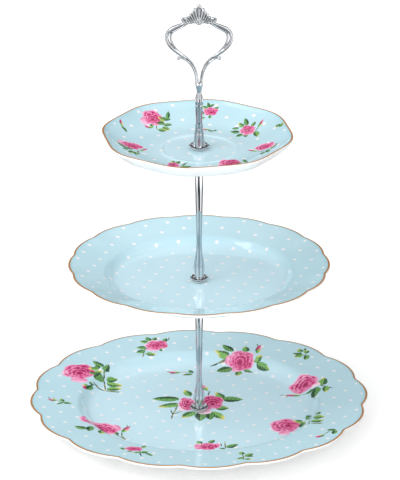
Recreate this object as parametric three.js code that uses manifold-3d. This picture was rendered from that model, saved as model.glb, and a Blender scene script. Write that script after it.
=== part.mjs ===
// A three-tier cake stand: scalloped china plates held on a screwed chrome stem with a loop handle.
// Millimetres, +Z up. The origin is on the table under the stem's axis, and -Y is the front.

import * as THREE from 'three';
import { mergeVertices } from 'three/addons/utils/BufferGeometryUtils.js';
import Module from 'manifold-3d';

const wasm = await Module();
wasm.setup();

// Clearances and threads. Threads are plain cylinders of their outer size.
const GAP = 0.3;
const THREAD_R = 2;
const BORE_R = THREAD_R + GAP;
const THREAD_REACH = 11;
const STUD_DEPTH = 14;

// Plates, from the largest. Heights are above the table; a wave runs from notch to notch of the rim.
const PLATES = {
  bottom: {
    floorZ: 8.4, thickness: 3.8, floorR: 88, shoulderR: 96.5, shoulderZ: 17.4,
    rimR: 136, rimZ: 20, edge: 2.6, footR: 74, footZ: 0, footWidth: 4,
    waves: 16, waveDepth: 0.033, turn: 4.7, facetsPerWave: 4,
  },
  middle: {
    floorZ: 120.9, thickness: 3.6, floorR: 67.5, shoulderR: 75, shoulderZ: 129.6,
    rimR: 104.3, rimZ: 135.5, edge: 2.4, footR: 57, footZ: 113.1, footWidth: 3.6,
    waves: 16, waveDepth: 0.025, turn: 0.3, facetsPerWave: 4,
  },
};
const SAUCER = {
  floorZ: 233.4, thickness: 3.4, ringR: 29.5, ringRise: 0.7, sideR: 36, rimR: 75.2, rimZ: 244.8,
  edge: 2.2, footR: 27, footZ: 226.6, footWidth: 3.2,
  waves: 8, waveDepth: 0.045, turn: 38, facetsPerWave: 8,
};
const PLATE_HOLE_R = 3.2;

// Stem hardware between the plates.
const GASKET = { thickness: 1, seatR: 6.4, upperThickness: 0.7, upperR: 5.6 };
const WASHER = { thickness: 0.8, r: 5.4 };
const BASE_WASHER = { thickness: 0.6, r: 7.2 };
const BOLT_HEAD = { thickness: 1.4, r: 5.6 };
const ROSETTE = { thickness: 0.8, rise: 2.3, petals: 8, petalDepth: 0.12 };
const ROD_LIFT = 2.4;
const ROUND = 20;
const SLIM_ROUND = 16;

// Handle: heights above its own foot.
const HANDLE = {
  forkH: 54, elbowX: 24.2, elbowH: 91.4, crestX: 10.9, crestH: 102.2, topH: 118.3,
  armWide: 1.8, armDeep: 1.4, curlX: 16, curlH: 73.6, ballR: 1.5,
};

const LOOKS = {
  china: { color: 0xb5dbea, roughness: 0.08, metalness: 0 },
  chrome: { color: 0xd4d8dc, roughness: 0.08, metalness: 1 },
  steel: { color: 0x9a9da1, roughness: 0.35, metalness: 1 },
  rubber: { color: 0xdedfe0, roughness: 0.6, metalness: 0 },
};

const group = new THREE.Group();

function addPart(name, geometry, look, z = 0, turn = 0) {
  const mesh = new THREE.Mesh(geometry, new THREE.MeshStandardMaterial(LOOKS[look]));
  mesh.name = name;
  mesh.position.z = z;
  mesh.rotation.z = THREE.MathUtils.degToRad(turn);
  group.add(mesh);
}

// A profile of [radius, height] points, turned about Z. Outer walls run upwards in the profile.
function turned(profile, facets = ROUND) {
  const points = profile.map(([r, z]) => new THREE.Vector2(r, z));
  return new THREE.LatheGeometry(points, facets).rotateX(Math.PI / 2);
}

// A flat ring standing on z = 0.
function ring(innerR, outerR, height, facets = ROUND) {
  const profile = [[innerR, 0], [outerR, 0], [outerR, height], [innerR, height], [innerR, 0]];
  return turned(profile, facets);
}

// Draws the rim in at the notches: waveAt gives 1 on a crest and 0 in a notch.
function waveRim(geometry, innerR, outerR, depth, waveAt) {
  const position = geometry.attributes.position;
  for (let i = 0; i < position.count; i += 1) {
    const x = position.getX(i);
    const y = position.getY(i);
    const reach = THREE.MathUtils.clamp((Math.hypot(x, y) - innerR) / (outerR - innerR), 0, 1);
    const scale = 1 - depth * reach * (1 - waveAt(Math.atan2(y, x) + Math.PI / 2));
    position.setXY(i, x * scale, y * scale);
  }
  return geometry;
}

const roundLobe = (count) => (angle) => Math.abs(Math.cos(angle * count / 2)) ** 0.8;
const softWave = (count) => (angle) => 0.5 + 0.5 * Math.cos(angle * count);

// The underside of every plate: foot ring, then the flat centre, ending at the hole.
function footProfile(plate, outerZ) {
  const outer = plate.footR + plate.footWidth / 2;
  const inner = plate.footR - plate.footWidth / 2;
  const under = plate.floorZ - plate.thickness;
  return [
    [PLATE_HOLE_R, under],
    [inner - 1.5, under],
    [inner, plate.footZ],
    [outer, plate.footZ],
    [outer + 2, outerZ],
  ];
}

function flatRimPlate(plate) {
  const under = plate.floorZ - plate.thickness;
  const profile = [
    ...footProfile(plate, under),
    [plate.floorR + 1, under + 0.6],
    [plate.shoulderR + 2, plate.shoulderZ - plate.thickness],
    [plate.rimR - 1, plate.rimZ - plate.edge],
    [plate.rimR, plate.rimZ - plate.edge / 2],
    [plate.rimR - 0.8, plate.rimZ],
    [plate.shoulderR + 1, plate.shoulderZ],
    [plate.shoulderR - 1.5, plate.shoulderZ - 1.2],
    [plate.floorR + 2, plate.floorZ + 1.6],
    [plate.floorR - 3, plate.floorZ],
    [PLATE_HOLE_R, plate.floorZ],
    [PLATE_HOLE_R, under],
  ];
  const body = turned(profile, plate.waves * plate.facetsPerWave);
  return waveRim(body, plate.shoulderR + 2, plate.rimR, plate.waveDepth, roundLobe(plate.waves));
}

// The top plate is a saucer: a bowl-shaped side and a low ring round its flat centre.
function saucer(plate) {
  const under = plate.floorZ - plate.thickness;
  const sideAt = (part) => [
    THREE.MathUtils.lerp(plate.sideR, plate.rimR - 0.8, part),
    THREE.MathUtils.lerp(plate.floorZ, plate.rimZ, part ** 2.2),
  ];
  const profile = [
    ...footProfile(plate, under + 0.3),
    [plate.rimR * 0.68, plate.floorZ - 2.8],
    [plate.rimR * 0.8, plate.floorZ - 1],
    [plate.rimR * 0.9, plate.rimZ - 8],
    [plate.rimR - 0.8, plate.rimZ - plate.edge],
    [plate.rimR, plate.rimZ - plate.edge / 2],
    sideAt(1),
    sideAt(0.7),
    sideAt(0.35),
    [plate.ringR + 2.5, plate.floorZ],
    [plate.ringR, plate.floorZ + plate.ringRise],
    [plate.ringR - 1.8, plate.floorZ],
    [PLATE_HOLE_R, plate.floorZ],
    [PLATE_HOLE_R, under],
  ];
  const body = turned(profile, plate.waves * plate.facetsPerWave);
  return waveRim(body, plate.ringR + 4, plate.rimR, plate.waveDepth, softWave(plate.waves));
}

// A thin cupped disc with a petalled edge, standing on z = 0.
function rosette(edgeR) {
  const profile = [
    [BORE_R, 0],
    [edgeR * 0.62, 0],
    [edgeR * 0.96, ROSETTE.rise - 0.9],
    [edgeR, ROSETTE.rise],
    [edgeR * 0.9, ROSETTE.rise - 0.2],
    [edgeR * 0.6, ROSETTE.thickness],
    [BORE_R, ROSETTE.thickness],
    [BORE_R, 0],
  ];
  const body = turned(profile, ROSETTE.petals * 4);
  return waveRim(body, edgeR * 0.62, edgeR, ROSETTE.petalDepth, softWave(ROSETTE.petals));
}

// A stem rod on z = 0: a bulb near its foot, a waist, and a long taper out to the top.
function rod(length) {
  const outer = [
    [3.65, 0], [3.7, 4.6], [4.2, 6.6], [4.6, 9.1], [4.2, 12.6], [3.2, 17.6], [2.3, 24.6],
    [2, 31.1], [2.3, 43], [2.9, 68], [3.3, 88], [3.4, length],
  ];
  const boreTop = THREAD_REACH - ROD_LIFT + GAP;
  const boreFloor = length - STUD_DEPTH;
  return turned([
    [0, boreTop], [BORE_R, boreTop], [BORE_R, 0],
    ...outer,
    [BORE_R, length], [BORE_R, boreFloor], [0, boreFloor],
  ], SLIM_ROUND);
}

function plainPin(fromZ, toZ) {
  return turned([[0, fromZ], [THREAD_R, fromZ], [THREAD_R, toZ], [0, toZ]], SLIM_ROUND);
}

// A low bolt head on z = 0 with a plain shank up to the given height.
function bolt(height) {
  const { r, thickness } = BOLT_HEAD;
  return turned([
    [0, 0], [r - 0.6, 0], [r, 0.5], [r, thickness],
    [THREAD_R, thickness], [THREAD_R, height], [0, height],
  ], SLIM_ROUND);
}

function toSolid(geometry) {
  const bare = geometry.clone();
  bare.deleteAttribute('normal');
  bare.deleteAttribute('uv');
  const merged = mergeVertices(bare, 1e-4);
  return new wasm.Manifold(new wasm.Mesh({
    numProp: 3,
    vertProperties: new Float32Array(merged.attributes.position.array),
    triVerts: new Uint32Array(merged.index.array),
  }));
}

function toGeometry(solid) {
  const mesh = solid.getMesh();
  const geometry = new THREE.BufferGeometry();
  geometry.setAttribute('position', new THREE.BufferAttribute(mesh.vertProperties, 3));
  geometry.setIndex(new THREE.BufferAttribute(mesh.triVerts, 1));
  geometry.computeVertexNormals();
  return geometry;
}

// A bar of oval section along a curve in the handle's plane.
function bar(points, wide, deep, steps) {
  const section = new THREE.Shape().absellipse(0, 0, deep, wide, 0, Math.PI * 2);
  const path = new THREE.CatmullRomCurve3(points.map(([x, z]) => new THREE.Vector3(x, 0, z)));
  return new THREE.ExtrudeGeometry(section, {
    steps, extrudePath: path, curveSegments: 4, bevelEnabled: false,
  });
}

function ball(x, z, rx, ry, rz, lean = 0) {
  return new THREE.SphereGeometry(1, 10, 7).rotateX(Math.PI / 2).scale(rx, ry, rz)
    .rotateY(lean).translate(x, 0, z);
}

// The handle's foot and stem on z = 0, open below for the thread.
function handleStem() {
  const boreTop = THREAD_REACH - ROD_LIFT + GAP;
  return turned([
    [0, boreTop], [BORE_R, boreTop], [BORE_R, 0],
    [4.8, 0], [5.2, 0.6], [4, 9.3], [2.85, 16.8], [2.6, 20.3], [3, 27.8], [3.3, 34.8], [3.45, 37.8],
    [1.8, 44.8], [2.85, 51.8], [2.2, HANDLE.forkH], [0, HANDLE.forkH],
  ], SLIM_ROUND);
}

// One side of the loop, drawn for +X: the arm, its small outward curl, and half of the crest.
function handleSide(side) {
  const { forkH, elbowX, elbowH, crestX, crestH } = HANDLE;
  const arm = bar([
    [0.8 * side, forkH - 3], [1.6 * side, forkH + 3], [5.2 * side, forkH + 16],
    [12.5 * side, forkH + 23.1], [(elbowX - 5.4) * side, elbowH - 9.5], [elbowX * side, elbowH],
    [(elbowX - 5.5) * side, elbowH + 6.8], [crestX * side, crestH], [0, crestH + 1.6],
  ], HANDLE.armWide, HANDLE.armDeep, 28);
  const curl = bar([
    [3.4 * side, forkH + 12], [7.4 * side, forkH + 17.4], [HANDLE.curlX * side, HANDLE.curlH],
  ], 0.9, 0.9, 6);
  const curlBall = ball(HANDLE.curlX * side, HANDLE.curlH, HANDLE.ballR, HANDLE.ballR, HANDLE.ballR);
  const petals = [0.3, 0.58, 0.84].map((part) => {
    const reach = 7.6 - 4.6 * part;
    return ball(crestX * part * side, crestH + 0.6 + reach, 1.7, 1.5, reach, part * 0.5 * side);
  });
  const endCurl = ball(11.4 * side, crestH + 2.2, 2.4, 1.6, 2.4);
  return [arm, curl, curlBall, ...petals, endCurl];
}

function handle() {
  const topPetal = ball(0, HANDLE.topH - 7.9, 2.5, 1.6, 7.9);
  const pieces = [handleStem(), ...handleSide(1), ...handleSide(-1), topPetal];
  const solid = pieces.map(toSolid).reduce((whole, piece) => whole.add(piece));
  return toGeometry(solid);
}

// What sits on a plate's floor: the upper gasket, then the rosette.
function addFloorStack(prefix, rosetteName, floorZ, rosetteR) {
  const { upperR, upperThickness } = GASKET;
  const gasketZ = floorZ + GAP;
  addPart(`${prefix}_upper_gasket`, ring(BORE_R, upperR, upperThickness), 'rubber', gasketZ);
  addPart(rosetteName, rosette(rosetteR), 'chrome', gasketZ + upperThickness + GAP);
}

// What carries a raised plate: a washer on the rod's end, then the lower gasket.
function addSeatStack(prefix, plate) {
  const gasketZ = plate.floorZ - plate.thickness - GAP - GASKET.thickness;
  const washerZ = gasketZ - GAP - WASHER.thickness;
  addPart(`${prefix}_lower_gasket`, ring(BORE_R, GASKET.seatR, GASKET.thickness), 'rubber', gasketZ);
  addPart(`${prefix}_support_washer`, ring(BORE_R, WASHER.r, WASHER.thickness), 'steel', washerZ);
  return washerZ - GAP;
}

const { bottom, middle } = PLATES;
const top = SAUCER;

addPart('bottom_plate', flatRimPlate(bottom), 'china', 0, bottom.turn);
addPart('middle_plate', flatRimPlate(middle), 'china', 0, middle.turn);
addPart('top_plate', saucer(top), 'china', 0, top.turn);

const lowerRodTop = addSeatStack('middle', middle);
const upperRodTop = addSeatStack('top', top);

const baseGasketZ = bottom.floorZ - bottom.thickness - GAP - GASKET.thickness;
const baseWasherZ = baseGasketZ - GAP - BASE_WASHER.thickness;
const boltZ = baseWasherZ - GAP - BOLT_HEAD.thickness;
const baseWasher = ring(BORE_R, BASE_WASHER.r, BASE_WASHER.thickness);
addPart('bottom_bolt', bolt(bottom.floorZ + THREAD_REACH - boltZ), 'steel', boltZ);
addPart('bottom_bolt_washer', baseWasher, 'steel', baseWasherZ);
addPart('bottom_lower_gasket', ring(BORE_R, GASKET.seatR, GASKET.thickness), 'rubber', baseGasketZ);

addFloorStack('bottom', 'lower_rosette', bottom.floorZ, 7.4);
addFloorStack('middle', 'middle_rosette', middle.floorZ, 7.1);
addFloorStack('top', 'top_rosette', top.floorZ, 8.1);

const lowerRodZ = bottom.floorZ + ROD_LIFT;
const upperRodZ = middle.floorZ + ROD_LIFT;
addPart('lower_rod', rod(lowerRodTop - lowerRodZ), 'chrome', lowerRodZ);
addPart('upper_rod', rod(upperRodTop - upperRodZ), 'chrome', upperRodZ);
const studFoot = STUD_DEPTH - GAP;
addPart('lower_stud', plainPin(lowerRodTop - studFoot, middle.floorZ + THREAD_REACH), 'steel');
addPart('upper_stud', plainPin(upperRodTop - studFoot, top.floorZ + THREAD_REACH), 'steel');

addPart('handle', handle(), 'chrome', top.floorZ + ROD_LIFT);

export default group;
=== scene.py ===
"""Tiered cake stand: three scalloped china plates on a screwed chrome stem with a loop handle.

Run as a script, it builds the stand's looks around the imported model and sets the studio.
"""

import math

import bmesh
import bpy
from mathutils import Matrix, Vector


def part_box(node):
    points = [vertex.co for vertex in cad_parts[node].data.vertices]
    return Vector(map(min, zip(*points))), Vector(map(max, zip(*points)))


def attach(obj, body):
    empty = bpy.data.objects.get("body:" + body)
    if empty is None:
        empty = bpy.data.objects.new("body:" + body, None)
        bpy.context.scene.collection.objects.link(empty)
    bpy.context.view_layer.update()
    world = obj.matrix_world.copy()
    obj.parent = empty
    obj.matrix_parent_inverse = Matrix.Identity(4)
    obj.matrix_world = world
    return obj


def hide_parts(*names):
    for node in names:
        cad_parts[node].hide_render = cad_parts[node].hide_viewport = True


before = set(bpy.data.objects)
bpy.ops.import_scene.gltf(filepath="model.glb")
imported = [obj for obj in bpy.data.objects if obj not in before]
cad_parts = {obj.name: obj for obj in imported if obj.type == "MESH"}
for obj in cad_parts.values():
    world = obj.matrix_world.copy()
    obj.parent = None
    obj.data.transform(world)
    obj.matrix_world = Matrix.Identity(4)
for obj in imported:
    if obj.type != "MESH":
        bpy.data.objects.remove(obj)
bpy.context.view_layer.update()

bl_info = {
    "name": "Tiered Cake Stand",
    "version": (1, 0, 0),
    "blender": (4, 5, 0),
    "location": "View3D > Sidebar > Cake Stand",
    "description": "Builds a three-tier china cake stand with a chrome stem and handle",
    "category": "Add Mesh",
}

MM = 0.001


def linear(code):
    """A linear RGB colour from a six-digit sRGB code."""
    levels = [int(code[i:i + 2], 16) / 255 for i in (0, 2, 4)]
    return tuple(v / 12.92 if v <= 0.04045 else ((v + 0.055) / 1.055) ** 2.4 for v in levels)


# --- Shapes, in millimetres -------------------------------------------------------------------

# Heights are above the table. A wave runs from notch to notch of the rim.
FLAT_PLATES = {
    "bottom_plate": {
        "body": "base", "slot": "bottom_china", "floor_z": 8.4, "thickness": 3.8, "floor_r": 88,
        "shoulder_r": 96.5, "shoulder_z": 17.4, "rim_z": 20, "edge": 2.6,
        "foot_r": 74, "foot_z": 0, "foot_width": 4, "wave_depth": 0.033, "turn": 4.7,
    },
    "middle_plate": {
        "body": "middle_tier", "slot": "middle_china", "floor_z": 120.9, "thickness": 3.6,
        "floor_r": 67.5, "shoulder_r": 75, "shoulder_z": 129.6, "rim_z": 135.5, "edge": 2.4,
        "foot_r": 57, "foot_z": 113.1, "foot_width": 3.6, "wave_depth": 0.021, "turn": 0.3,
    },
}
FLAT_PLATE_WAVES = 16
SAUCER = {
    "floor_z": 233.4, "thickness": 3.4, "ring_r": 29.5, "ring_rise": 0.7, "side_r": 36,
    "rim_z": 246.9, "edge": 2.2, "foot_r": 27, "foot_z": 226.6, "foot_width": 3.2,
    "wave_depth": 0.035, "turn": 34.5, "flare": 0.9, "drift": -1.3,
    "body": "top_tier", "slot": "top_china",
}
SAUCER_WAVES = 8
HOLE_R = 3.2
BORE_R = 2.3
PLATE_STEPS = 192
# Which point of a plate's rounded edge lies under the middle of the gold.
GOLD_POINT = 6

# Height above the rod's foot, radius, and how deep its six flutes are there. One flute
# faces the front.
ROD_SHAPE = [
    (0.0, 3.45, 0.0), (0.25, 3.65, 0.02), (2.4, 3.68, 0.05), (4.2, 3.66, 0.09),
    (5.2, 3.82, 0.14), (6.6, 4.2, 0.22), (8.0, 4.5, 0.27), (9.6, 4.6, 0.3),
    (11.2, 4.45, 0.31), (13.2, 4.05, 0.3), (15.6, 3.6, 0.28), (18.2, 3.14, 0.25),
    (21.2, 2.68, 0.2), (24.6, 2.32, 0.14), (28.0, 2.1, 0.06), (31.1, 2.03, 0.1),
    (34.5, 2.1, 0.1), (38.5, 2.22, 0.12), (43.0, 2.36, 0.15), (49.0, 2.52, 0.15),
    (56.0, 2.7, 0.12), (62.0, 2.82, 0.1), (68.0, 2.94, 0.1), (75.0, 3.08, 0.1),
    (82.0, 3.2, 0.0), (90.0, 3.32, 0.0),
]
ROD_RIBS = 6
# Radius and depth below the rod's upper end.
ROD_TOP = [(3.38, 0.6), (3.4, 0.15), (3.25, 0.0)]
THREAD_BORE = 8.9
STUD_BORE = 14

ROSETTES = {"lower_rosette": 7.6, "middle_rosette": 7.3, "top_rosette": 8.3}
ROSETTE_PETALS = 8

# The handle's foot and stem: height above its foot, radius, depth of the eight flutes.
HANDLE_STEM = [
    (0.0, 4.9, 0.1), (0.4, 5.15, 0.14), (1.2, 5.1, 0.16), (3.0, 4.8, 0.16), (5.5, 4.42, 0.15),
    (8.0, 4.1, 0.12), (9.6, 3.9, 0.06), (10.4, 3.95, 0.0), (11.2, 3.6, 0.0), (14.0, 3.1, 0.0),
    (17.0, 2.75, 0.0), (19.0, 2.7, 0.03), (20.4, 2.55, 0.06), (22.5, 2.6, 0.08), (25.5, 2.8, 0.08),
    (29.0, 3.0, 0.06), (32.5, 3.1, 0.04), (34.4, 3.05, 0.02), (35.2, 3.0, 0.06), (35.9, 3.4, 0.12),
    (37.8, 3.5, 0.14), (40.0, 3.35, 0.14), (42.4, 2.7, 0.12), (44.8, 1.85, 0.06), (46.6, 1.95, 0.0),
    (48.8, 2.3, 0.0), (50.8, 2.75, 0.0), (51.8, 2.9, 0.0), (52.2, 2.6, 0.0), (53.0, 1.9, 0.0),
]
HANDLE_STEM_TOP = 53.4
HANDLE_FLUTES = 8
HANDLE_FLUTE_TOP = 45
CAST_VOXEL = 0.24
# Raised petals round the neck: height, how far out, half width, half height, half steps round.
RELIEF_ROWS = [(12.8, 2.95, 0.95, 2.4, 0), (16.9, 2.5, 0.7, 1.9, 1)]
RELIEF_PETALS = 6
RELIEF_DEPTH = 0.6

# One side of the loop, for +X: (across, height, radius) above the handle's foot.
INNER_STRAND = [
    (0.5, 48.0, 0.9), (0.95, 53.0, 0.85), (1.3, 57.0, 0.72), (2.6, 63.5, 0.68), (5.6, 69.8, 0.7),
    (10.8, 75.0, 0.72), (16.2, 79.4, 0.74), (20.2, 84.6, 0.78), (22.1, 90.2, 0.85),
    (21.2, 94.6, 0.85), (17.6, 97.2, 0.8), (13.4, 99.4, 0.75), (10.2, 101.6, 0.8),
    (8.2, 103.2, 0.85),
]
CURL_STRAND = [
    (1.2, 48.0, 1.1), (2.1, 53.0, 1.1), (2.4, 57.5, 0.95), (3.9, 63.5, 0.88), (6.9, 68.9, 0.85),
    (10.6, 72.2, 0.8), (13.6, 73.7, 0.72), (15.6, 73.9, 0.8),
]
LOWER_LEAF = [
    (8.6, 73.2, 0.4), (11.5, 74.7, 1.05), (15.8, 77.6, 1.4), (20.7, 81.8, 1.5),
    (24.0, 86.2, 1.5), (25.3, 90.2, 1.3), (24.9, 93.4, 0.6),
]
UPPER_LEAF = [
    (24.8, 87.4, 0.5), (25.4, 90.6, 1.3), (24.3, 94.8, 1.6), (21.3, 98.0, 1.55),
    (17.2, 100.1, 1.3), (13.3, 101.7, 1.1), (10.6, 103.1, 0.9),
]
# Each loop strand and how deep it is for its width.
LOOP_STRANDS = [(INNER_STRAND, 1.35), (CURL_STRAND, 1.25), (LOWER_LEAF, 1.15), (UPPER_LEAF, 1.15)]
CREST_DEPTH = 1.8
CREST_SIDE = [
    [(0.7, 103.0, 0.5), (1.5, 106.6, 0.7), (2.4, 110.6, 0.85), (3.1, 113.7, 1.0)],
    [(1.5, 103.0, 0.5), (3.0, 106.2, 0.65), (4.3, 109.4, 0.75), (5.0, 111.2, 0.8)],
    [(3.3, 102.5, 0.5), (4.5, 104.9, 0.65), (5.6, 107.4, 0.75), (6.7, 109.3, 0.9)],
    [(5.5, 102.4, 0.6), (5.7, 104.0, 0.65), (7.0, 106.2, 0.65), (8.3, 107.7, 0.7)],
    [(7.6, 102.3, 0.6), (7.5, 103.8, 0.6), (8.7, 105.5, 0.65), (10.0, 106.7, 0.75)],
    [(9.7, 102.2, 0.65), (9.5, 103.6, 0.65), (10.2, 105.4, 0.7), (11.5, 106.5, 0.75),
     (12.9, 106.2, 0.8), (13.3, 104.9, 0.8), (12.4, 104.0, 0.85)],
]
CREST_MIDDLE = [
    [(0.0, 102.2, 0.6), (0.0, 106.0, 0.75), (0.0, 111.0, 0.95), (0.0, 114.6, 1.1)],
    [(-3.6, 104.6, 0.4), (-2.0, 102.7, 0.65), (0.0, 101.9, 0.8), (2.0, 102.7, 0.65),
     (3.6, 104.6, 0.4)],
]
# Lumps on the casting, for +X: across, height, then the oval's three radii.
CAST_LUMPS = [
    (16.0, 73.6, (1.45, 1.45, 1.45)), (3.2, 114.0, (1.25, 1.3, 1.25)),
    (5.1, 111.4, (0.95, 1.1, 0.9)), (6.8, 109.6, (1.1, 1.2, 1.05)),
    (8.5, 107.9, (0.85, 1.0, 0.8)), (10.2, 106.9, (0.9, 1.0, 0.85)),
    (12.0, 104.4, (0.95, 1.3, 0.95)), (1.8, 109.4, (3.8, 0.55, 6.2)),
    (7.4, 105.0, (4.6, 0.55, 3.2)),
]
CREST_BALL = (0, 116.2, (1.9, 1.4, 1.9))

# --- Decoration, in millimetres across the plate ---------------------------------------------

# A flower, leaf or bud is (x, y, turn, length, width, tone). A stem is (x1, y1, x2, y2, width).
BOTTOM_ROSES = [
    (-35, 107, 15, 20, 17, .5), (-98, 53, 60, 30, 27, .3), (-80, -37, -14, 32, 25, .7),
    (-51.5, -96, 0, 15, 10.5, .5), (5.5, -70.5, 0, 21, 13.5, .3), (68.5, -31, 70, 28, 25, .6),
    (84.5, 40, -25, 26, 21, .8), (34.5, 87, -20, 23, 19, .4), (9.5, 14, 80, 29, 21, .2),
    (-10, 11, 95, 27, 14, .9),
]
BOTTOM_PETALS = [
    (-97, 37.5, 90, 9, 14, .5), (-38, 99.5, 90, 7, 11, .6), (-66.5, -35, 20, 8, 13, .8),
    (-70.5, -44, 100, 8, 7, .4), (67.5, -45.5, 90, 8, 9, .6), (25.5, 89, 170, 9, 7, .9),
    (30, 78.5, 100, 7, 7, .5), (93.5, 31, 120, 9, 9, .9), (4.5, -4, 105, 9, 12, .95),
    (-12.5, 3, 60, 12, 8, .95), (13, -69, 60, 9, 7, .8),
]
BOTTOM_LEAVES = [
    (-42, 117, 115, 8, 5.5, .4), (-36.5, 117.5, 60, 6, 4, .2), (-45.5, 112, 178, 7, 5, .6),
    (-28, 116, 80, 7, 4.5, .3), (-47.5, 101.5, 180, 8, 6.5, .5), (-42, 100.5, 200, 5, 4, .1),
    (-48, 94.3, 208, 8, 6, .4), (-39.5, 91, 0, 9, 5.5, .7), (-31.5, 98.5, -65, 6, 3, .3),
    (-82.5, 69.5, 133, 13.5, 6, .3), (-75.5, 63.5, 74, 12, 6, .2), (-70.5, 55.5, 36, 12, 5, .5),
    (-68.5, 48.5, -8, 13.5, 8.5, .8), (-68.7, 41, 2, 13, 7.5, .8), (-88.5, 31, 242, 11, 3, .2),
    (-87, 37, 30, 5, 3, .2), (-94, -56, 158, 11.5, 7, .4), (-86.5, -57, 262, 11, 7, .2),
    (-77, -62.5, 268, 9, 7, .7), (-76, -47.5, 266, 11, 4.5, .1), (-66, -45, 112, 7, 4, .3),
    (-60, -96.5, 150, 5.5, 4, .4), (-54.5, -102, 200, 5, 3, .7), (-49, -103.8, 190, 6, 4, .6),
    (-42.8, -102.5, 28, 7, 5, .5), (-39, -107.3, -52, 8.5, 3.4, .3), (-43.5, -91.5, 240, 6, 4, .8),
    (26.3, -69.3, 38, 12, 6.5, .3), (18.3, -74.3, 170, 5, 3, .1), (0, -62.5, 120, 7, 5, .5),
    (10, -61, 60, 8, 5, .4), (33.2, -104.3, 100, 7, 5, .7), (39.3, -108, 52, 9, 6, .6),
    (40, -111.6, 5, 6, 3, .2), (32, -116, 200, 6, 4.5, .7), (38.5, -117.5, -20, 6, 4.5, .8),
    (95.2, -26, 65, 6.5, 3.4, .3), (95.3, -34, 2, 10, 8, .7), (94, -42, 4, 11, 7, .7),
    (104.5, -62.6, 176, 8, 4.5, .2), (107, -67.8, 252, 8, 5, .3), (87.5, -18, 100, 14, 5, .2),
    (100.3, 34.5, 80, 15, 8, .6), (102, 19.5, 264, 12.5, 6, .7), (94, 18.5, 262, 14, 8.5, .2),
    (89.5, 25.5, 150, 8, 3, .1), (23.5, 102, 125, 15, 7, .2), (18.7, 94.7, 151, 14, 6.5, .8),
    (20.5, 79, 206, 14.5, 11, .1), (38.3, 99.5, 92, 10, 6.5, .5), (49, 84.5, 62, 9, 6, .9),
    (52.3, 76, -41, 14, 5.5, .5), (40.2, 76, -30, 9, 4.5, .4), (32, 71.8, 256, 10, 6, .7),
    (-27, 21.2, 179, 23, 10.5, .35), (-24.7, 8.3, 199, 19, 9, .75), (-9.6, 33, 108, 14, 7, .75),
    (16.5, 28.3, 114, 14, 7.5, .7), (27, 20.5, -3, 17.5, 11.5, .3), (18.8, 3.2, 2, 11, 9.5, .5),
    (15.3, -11.5, -58, 19, 9, .85), (1.3, -13, 268, 18.5, 10, .15), (8.7, -12, 272, 15.5, 8, .1),
    (-8.8, -9.8, 231, 16, 9, .7), (-7, 76, 112, 6.5, 4, .3), (-9.5, 69.6, 196, 9, 4, .3),
    (-110, -3, 100, 6, 4, .6), (-105.5, -7.7, -10, 8, 4.2, .5), (-111.7, -10, 222, 6, 3, .4),
    (82.5, 93.7, 108, 7.5, 5.5, .8), (88, 91, 60, 6, 5, .7), (80.4, 87.8, 165, 8.5, 4.4, .2),
    (81.2, 83.8, 214, 8.5, 6, .8), (87.6, 80.2, 258, 9, 5, .5), (86.8, 95.4, 80, 5, 2.4, .3),
]
BOTTOM_TOP_LEAVES = [
    (-86, 60.3, 174, 9, 6, .9), (-83, 64, 120, 7, 4.5, .3), (-82, 49, 238, 11, 8, .15),
    (-86, 52, 160, 8, 5, .3), (-81.5, 55.5, 30, 8, 5, 1.0), (79, -22.5, 150, 8, 6, .8),
    (82.3, -32, 255, 10, 6, .1), (83, -25.5, 20, 7, 4.5, 1.0),
]
BOTTOM_BUDS = [
    (-58.4, -38.2, 66, 12, 6.4, .3), (-47, -75, 114, 10.5, 5, .6), (95.4, -73.6, 214, 9, 5.2, .5),
    (76, 28.2, 178, 12.5, 5, .4), (48.6, 98.5, 81, 14, 6, .5), (3.8, 44, 116, 14.5, 6.6, .4),
    (-20, 74, 180, 10, 5.4, .6), (-117.5, -3.6, 178, 7, 5, .5), (-92.3, 28.3, 250, 9, 5, .3),
]
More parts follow.
